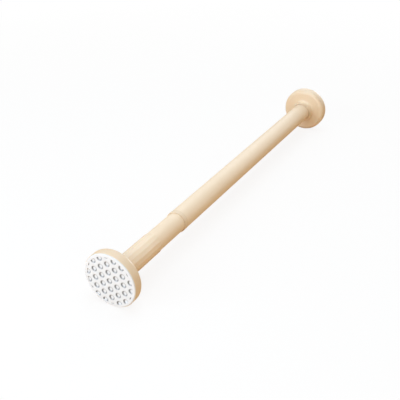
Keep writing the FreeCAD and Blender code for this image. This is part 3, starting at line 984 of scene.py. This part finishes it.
@dataclass
class WallPad:
    """A soft wall pad with a triangular grid of round dimples in its face."""

    facing: Facing
    thickness: float = 4.0
    edge_round: float = 1.2
    back_round: float = 0.3
    pitch: float = 12.75
    mouth: float = 9.2
    floor: float = 3.8
    depth: float = 1.2
    field: float = 70.4
    field_wall: float = 0.25
    # How much of the painted wall shade stays above and below a dimple's centre
    level_wall: float = 0.5
    turn_deg: float = -4.2
    rings: int = 3
    dimple_sides: int = 40
    dimple_steps: int = 8
    field_sides: int = 360
    weld: float = 0.001
    smallest_step: float = 0.00001

    @property
    def node(self) -> str:
        """The CAD node of this pad."""
        return "front_pad" if self.facing is Facing.FRONT else "rear_pad"

    def centres(self) -> Iterator[Vector]:
        """Find the dimples' centres, of whole ones and of those that the field's edge cuts.

        Yields:
            The next centre, across and up from the face's middle.
        """
        turn = math.radians(self.turn_deg)
        # A triangular grid: each column is half a pitch higher than the one before
        for across in range(-self.rings, self.rings + 1):
            for up in range(-self.rings, self.rings + 1):
                side = self.pitch * across * math.cos(math.pi / 6)
                height = self.pitch * (up + across / 2)
                spot = Vector((side * math.cos(turn) - height * math.sin(turn),
                               side * math.sin(turn) + height * math.cos(turn)))
                if spot.length < (self.field + self.mouth) / 2:
                    yield spot

    def dip(self, distance: float) -> float:
        """Find how deep a dimple is.

        Args:
            distance: from the dimple's centre.

        Returns:
            The depth below the face.
        """
        share = (distance - self.floor / 2) / ((self.mouth - self.floor) / 2)
        share = min(1.0, max(0.0, share))
        return self.depth * (1 + math.cos(math.pi * share)) / 2

    def painted_wall_shade(self, off: Vector) -> float:
        """Find how much shade is painted on a dimple's wall.

        The steepest part is the darkest. Above and below the centre the wall catches light from overhead and
        from the floor, so it is paler there.

        Args:
            off: across and up from the dimple's centre.

        Returns:
            The painted darkness, from nothing to one.
        """
        share = self.dip(off.length) / self.depth
        sideways = abs(off.x) / off.length if off.length > 0 else 0.0
        return 2 * math.sqrt(share * (1 - share)) * (self.level_wall + (1 - self.level_wall) * sideways)

    def face_points(self, centres: Sequence[Vector]) -> tuple[list[Vector], list[tuple[int, int]]]:
        """Lay out the points and fixed edges of the wall face.

        Args:
            centres: the dimples' centres.

        Returns:
            The points in the face's plane, and the pairs of points that an edge has to join.
        """
        points: list[Vector] = []
        edges: list[tuple[int, int]] = []

        def circle(centre: Vector, radius: float, sides: int, limit: float | None = None) -> None:
            """Add a circle to the points and edges.

            Args:
                centre: the circle's centre.
                radius: its radius.
                sides: how many points it gets.
                limit: how far from the face's middle its points are kept, or all of them if left out.
            """
            placed: list[int | None] = []
            for side in range(sides):
                angle = math.tau * side / sides
                spot = centre + Vector((math.cos(angle), math.sin(angle))) * radius
                if limit is not None and spot.length > limit:
                    placed.append(None)
                    continue
                placed.append(len(points))
                points.append(spot)
            for near, far in zip(placed, placed[1:] + placed[:1]):
                if near is not None and far is not None:
                    edges.append((near, far))

        inside = self.field / 2 - self.field_wall
        for centre in centres:
            if centre.length < inside:
                points.append(centre)
            for step in range(self.dimple_steps + 1):
                share = step / self.dimple_steps
                radius = (self.floor + (self.mouth - self.floor) * share) / 2
                circle(centre, radius, self.dimple_sides, inside)
        circle(Vector((0, 0)), self.field / 2, self.field_sides)
        circle(Vector((0, 0)), self.field / 2 + self.field_wall, self.field_sides)
        circle(Vector((0, 0)), node_span(self.node).radius - self.edge_round, TURNED_SIDES)
        return points, edges

    def build(self) -> None:
        """Build and place the pad."""
        pad = node_span(self.node)
        centres = list(self.centres())
        points, edges = self.face_points(centres)
        triangulated = geometry.delaunay_2d_cdt(points, edges, [], 0, self.smallest_step)
        flat, faces = triangulated[0], triangulated[2]
        mesh = bmesh.new()
        # The shade painted on the dimples' walls goes into a value on each vertex
        wall = mesh.verts.layers.float.new(WALL_SHADE_ATTRIBUTE)
        placed = []
        for spot in flat:
            off = spot - min(centres, key=lambda centre: (spot - centre).length)
            inside = spot.length <= (self.field + self.field_wall) / 2
            vertex = mesh.verts.new(Vector((self.dip(off.length) if inside else 0.0, spot.x, spot.y)) * MM)
            vertex[wall] = self.painted_wall_shade(off) if inside else 0.0
            placed.append(vertex)
        for corners in faces:
            mesh.faces.new([placed[corner] for corner in corners])
        turned(mesh, rounded_outline([
            Corner(0, pad.radius - self.edge_round),
            Corner(0, pad.radius, self.edge_round),
            Corner(self.thickness, pad.radius, self.back_round),
            Corner(self.thickness, 0),
        ], closed=False), closed=False)
        bmesh.ops.remove_doubles(mesh, verts=mesh.verts, dist=self.weld * MM)
        if self.facing is Facing.FRONT:
            face_front(mesh, pad.end)
        piece = as_piece(mesh, self.node + "_silicone")
        body = Body.FOOT if self.facing is Facing.FRONT else Body.OUTER
        place_piece(piece, body, self.node, WALL_SILICONE.material())


@dataclass
class SpringUnit:
    """The compression spring that gives the rod its push, with its washer and seats."""

    turns: int = 8
    dead_turns: int = 1
    steps: int = 40
    wire_sides: int = 14
    wire: float = 2.2
    touch: float = 0.25

    def spring(self) -> bpy.types.Object:
        """Build the coiled wire, with a closed turn at each end.

        Returns:
            The new piece.
        """
        start, end, radius = node_span("spring")
        half = self.wire / 2
        coil = radius - half
        closed = self.wire + self.touch
        working = self.turns - 2 * self.dead_turns
        pitch = (end - start - self.wire - 2 * self.dead_turns * closed) / working
        mesh = bmesh.new()
        rings = []
        along = start + half
        for step in range(self.turns * self.steps + 1):
            angle = math.tau * step / self.steps
            ring = []
            for side in range(self.wire_sides):
                around = math.tau * side / self.wire_sides
                out = coil + half * math.cos(around)
                spot = Vector((along + half * math.sin(around), out * math.cos(angle), out * math.sin(angle)))
                ring.append(mesh.verts.new(spot * MM))
            rings.append(ring)
            turn = (step + 0.5) / self.steps
            dead = turn < self.dead_turns or turn > self.turns - self.dead_turns
            along += (closed if dead else pitch) / self.steps
        for near, far in zip(rings, rings[1:]):
            skin_between(mesh, near, far)
        mesh.faces.new(rings[0])
        mesh.faces.new(rings[-1])
        return as_piece(mesh, "spring_coiled")

    def build(self) -> None:
        """Build the spring and dress the pieces round it."""
        piece = place_piece(self.spring(), Body.INNER, "spring", SPRING_STEEL.material())
        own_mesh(piece)
        dress_nodes(["spring_washer", "stem"], ZINC_STEEL.material())
        dress_nodes(["spring_backstop", "stem_bushing"], WHITE_ACETAL.material())


@dataclass
class TwistLock:
    """The hidden lock: an eccentric ring that a twist jams in the outer tube. Its CAD shapes stay."""

    def build(self) -> None:
        """Dress the lock's pieces."""
        dress_nodes(["lock_plug", "end_cap", "glide_ring"], WHITE_ACETAL.material())
        dress_nodes(["cam_ring"], CAM_NYLON.material())


@dataclass
class FootFixings:
    """The plug, screws and washer that hold the feet. Their CAD shapes stay."""

    def build(self) -> None:
        """Dress the fixings."""
        dress_nodes(["rear_plug"], WHITE_ACETAL.material())
        dress_nodes(["rear_foot_screw", "swivel_screw", "swivel_washer"], ZINC_STEEL.material())


@dataclass(frozen=True)
class Lamp:
    """A square softbox, aimed at the middle of the rod or at another point. Its lengths are in metres."""

    name: str
    place: tuple[float, float, float]
    side: float
    power: float
    colour: str = "#D9EAFF"
    aim: tuple[float, float, float] = (0.33, 0.0, 0.0)

    def build(self) -> None:
        """Hang the lamp."""
        data = bpy.data.lights.new(self.name, "AREA")
        data.shape = "SQUARE"
        data.size = self.side
        data.energy = self.power
        data.color = linear(self.colour)[:3]
        lamp = bpy.data.objects.new(self.name, data)
        lamp.location = self.place
        lamp.rotation_euler = (Vector(self.aim) - Vector(self.place)).to_track_quat("-Z", "Y").to_euler()
        bpy.context.scene.collection.objects.link(lamp)


@dataclass
class Studio:
    """The pale floor, soft lamps, white backdrop and camera at the photograph's angle, in metres."""

    floor_radius: float = 12.0
    floor_sides: int = 64
    camera_place: tuple[float, float, float] = (1.1889, 0.4376, 0.5159)
    camera_axis: tuple[float, float, float] = (-0.74820, -0.43023, -0.50507)
    lens_mm: float = 60.2
    sensor_mm: float = 36.0
    floor_colour: str = "#F4F1EC"
    bounce_colour: str = "#DCB98E"
    ambient_colour: str = "#FFEFD6"
    ambient: float = 0.37
    floor_glow: float = 0.86
    sweep_start: float = 0.45
    sweep_end: float = 1.3

    def lamps(self) -> list[Lamp]:
        """List the softboxes: overhead, high at the rear for the long highlight, and beyond both feet.

        Returns:
            The lamps.
        """
        return [
            Lamp("overhead_softbox", place=(0.33, 0.0, 1.8), side=1.4, power=19.8),
            Lamp("rear_high_softbox", place=(-0.93, -0.54, 1.17), side=1.4, power=4.2),
            Lamp("rear_softbox", place=(-2.31, 0.0, 0.93), side=2.8, power=12.8, colour=WHITE),
            Lamp("rear_pad_softbox", place=(-1.9, 0.0, 0.13), side=0.34, power=14.0, colour="#E6F0FF",
                 aim=(0.0, 0.0, 0.0)),
            Lamp("front_right_softbox", place=(1.87, 0.82, 0.45), side=1.4, power=8.4, colour="#F9FCFF"),
            Lamp("front_left_softbox", place=(1.95, -0.63, 0.45), side=1.4, power=27.8),
        ]

    @staticmethod
    def seen(tree: bpy.types.NodeTree, second: str) -> bpy.types.NodeSocket:
        """Tell rays from the camera, and those of a second kind, from all others.

        Args:
            tree: the node tree it goes into.
            second: the second kind's name in the light path node.

        Returns:
            One for such a ray, otherwise nothing.
        """
        path = add_node(tree, "LightPath").outputs
        both = add_node(tree, "Math", {0: path["Is Camera Ray"], 1: path[second]}, operation="MAXIMUM")
        return both.outputs[0]

    def floor_material(self) -> bpy.types.Material:
        """Make the floor's finish. It shows white, keeps the shadow and bounces a little warm light.

        Away from the rod it runs out to the white of the backdrop, and from below it can't be seen.

        Returns:
            The material.
        """
        material = bpy.data.materials.new("matt_floor")
        tree = empty_tree(material)
        bounce = add_node(tree, "BsdfDiffuse", {"Color": linear(self.bounce_colour)})
        pale = add_node(tree, "BsdfDiffuse", {"Color": linear(self.floor_colour)})
        glow = add_node(tree, "Emission", {"Color": linear(WHITE), "Strength": 1.0})
        place = add_node(tree, "NewGeometry").outputs["Position"]
        middle = (CAD_BOX[0] + CAD_BOX[1]) / 2
        away = add_node(tree, "VectorMath", {0: place, 1: middle}, operation="DISTANCE")
        share = add_node(tree, "MapRange", {"Value": away.outputs["Value"], "From Min": self.sweep_start,
                                            "From Max": self.sweep_end, "To Min": self.floor_glow, "To Max": 1.0})
        shown = add_node(tree, "MixShader", {0: share.outputs["Result"], 1: pale.outputs[0], 2: glow.outputs[0]})
        lit = add_node(tree, "MixShader", {0: self.seen(tree, "Is Transmission Ray"), 1: bounce.outputs[0],
                                           2: shown.outputs[0]})
        clear = add_node(tree, "BsdfTransparent")
        side = add_node(tree, "NewGeometry").outputs["Backfacing"]
        one_sided = add_node(tree, "MixShader", {0: side, 1: lit.outputs[0], 2: clear.outputs[0]})
        add_node(tree, "OutputMaterial", {"Surface": one_sided.outputs[0]})
        return material

    def floor(self) -> None:
        """Lay the floor under the feet."""
        mesh = bmesh.new()
        bmesh.ops.create_circle(mesh, cap_ends=True, radius=self.floor_radius, segments=self.floor_sides)
        bmesh.ops.translate(mesh, verts=mesh.verts, vec=(0, 0, CAD_BOX[0].z))
        data = bpy.data.meshes.new("floor")
        mesh.to_mesh(data)
        mesh.free()
        data.materials.append(self.floor_material())
        floor = bpy.data.objects.new("floor", data)
        bpy.context.scene.collection.objects.link(floor)

    def backdrop(self) -> None:
        """Make the world: white where it is seen or mirrored, and a low warm light elsewhere."""
        world = bpy.data.worlds.new("studio")
        tree = empty_tree(world)
        dim = add_node(tree, "Background", {"Color": linear(self.ambient_colour), "Strength": self.ambient})
        white = add_node(tree, "Background", {"Color": linear(WHITE), "Strength": 1.0})
        mixed = add_node(tree, "MixShader", {0: self.seen(tree, "Is Glossy Ray"), 1: dim.outputs[0],
                                             2: white.outputs[0]})
        add_node(tree, "OutputWorld", {"Surface": mixed.outputs[0]})
        bpy.context.scene.world = world

    def camera(self) -> None:
        """Set the camera at the photograph's place and angle."""
        data = bpy.data.cameras.new("camera")
        data.sensor_width = self.sensor_mm
        data.lens = self.lens_mm
        camera = bpy.data.objects.new("camera", data)
        camera.location = self.camera_place
        camera.rotation_euler = Vector(self.camera_axis).to_track_quat("-Z", "Y").to_euler()
        bpy.context.scene.collection.objects.link(camera)
        bpy.context.scene.camera = camera

    def build(self) -> None:
        """Set up the whole studio."""
        self.camera()
        self.floor()
        self.backdrop()
        for lamp in self.lamps():
            lamp.build()
        bpy.context.scene.view_settings.view_transform = "Standard"


def main() -> None:
    """Build the studio and every sub-assembly in order."""
    logging.basicConfig(level=logging.INFO, format="%(name)s: %(message)s")
    assemblies = [
        Studio(),
        OuterTube(),
        InnerTube(),
        Grip(),
        RearFoot(),
        FrontFoot(),
        WallPad(Facing.REAR),
        WallPad(Facing.FRONT),
        SpringUnit(),
        TwistLock(),
        FootFixings(),
    ]
    for assembly in assemblies:
        LOG.info("building %s", type(assembly).__name__)
        assembly.build()


if __name__ == "__main__":
    main()
